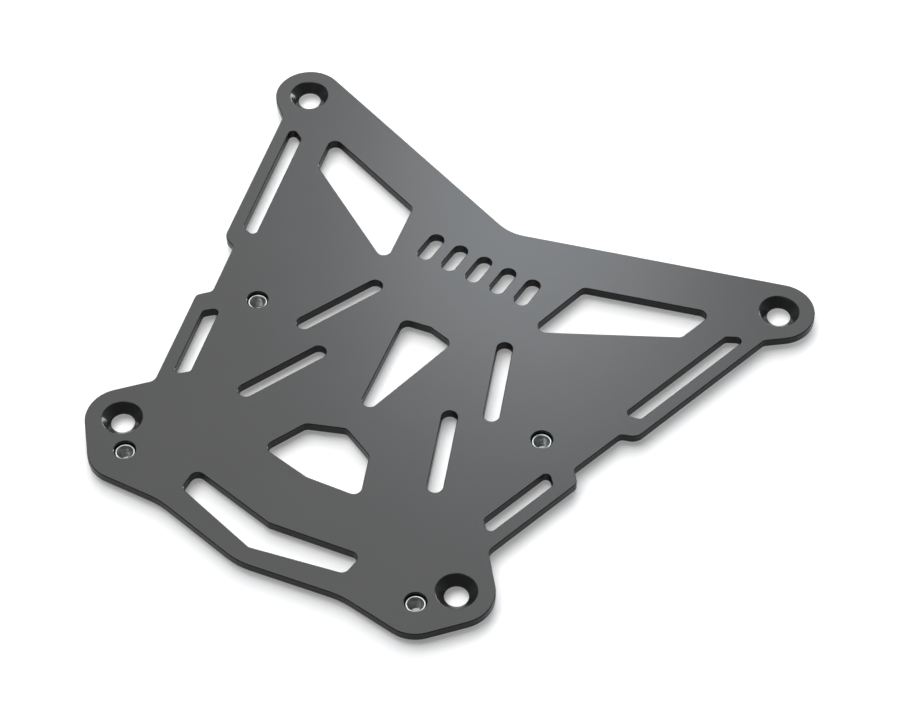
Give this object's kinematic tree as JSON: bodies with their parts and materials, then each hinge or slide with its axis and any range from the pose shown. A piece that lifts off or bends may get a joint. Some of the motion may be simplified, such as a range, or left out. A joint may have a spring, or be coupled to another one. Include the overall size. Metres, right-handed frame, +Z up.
{
  "type": "top case adapter",
  "caption": "Flat carrier plate for a motorbike top case, with strap slots along its sides, large windows, countersunk fixing holes in its lugs and threaded nuts pressed in from below.",
  "frame": {"origin": "middle of the plate in plan, at the level of the press nuts' feet", "axes": "+X to the right across the plate, its longest extent; +Y towards the wide rear end; +Z up, out of the flat top face"},
  "size_m": [0.266, 0.2381, 0.008],
  "materials": {
    "plate": "satin",
    "nut": "satin"
  },
  "bodies": {
    "root": {"carrier_plate": "plate", "press_nut_rear_left": "nut", "press_nut_rear_right": "nut", "press_nut_front_left": "nut", "press_nut_front_right": "nut"}
  },
  "joints": []
}
